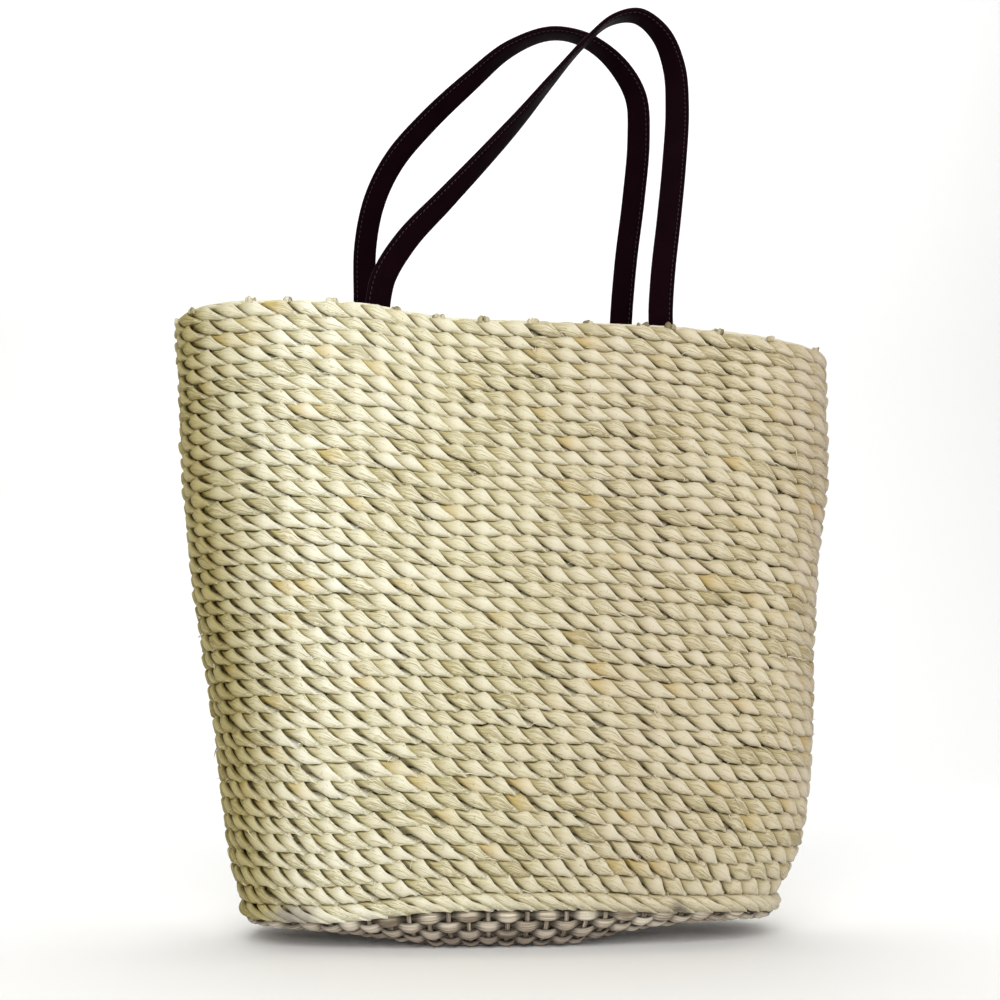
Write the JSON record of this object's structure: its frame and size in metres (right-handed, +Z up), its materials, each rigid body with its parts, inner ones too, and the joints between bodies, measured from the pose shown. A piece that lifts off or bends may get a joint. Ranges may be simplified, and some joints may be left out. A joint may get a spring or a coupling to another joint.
{
  "type": "straw basket bag",
  "caption": "Open straw shopper with a twined wall, a thick waled row round its rounded woven base, a folded rim and slim dark leather shoulder straps.",
  "frame": {"origin": "the middle of the flat part of the underside, on the surface that the bag stands on", "axes": "+Z up through the mouth, -Y out of the front wall, +X to the right as seen from the front"},
  "size_m": [0.4009, 0.1402, 0.5764],
  "materials": {
    "straw": "natural straw, hand twined, dry and slightly glossy along the fibre",
    "base_straw": "natural straw, plain woven, duller and a little soiled",
    "leather": "smooth dark brown leather with rounded, burnished edges"
  },
  "bodies": {
    "root": {"woven_base": "base_straw", "foot_wale": "straw", "woven_wall": "straw", "rim_border": "straw", "handle_front": "leather", "handle_back": "leather"}
  },
  "joints": []
}
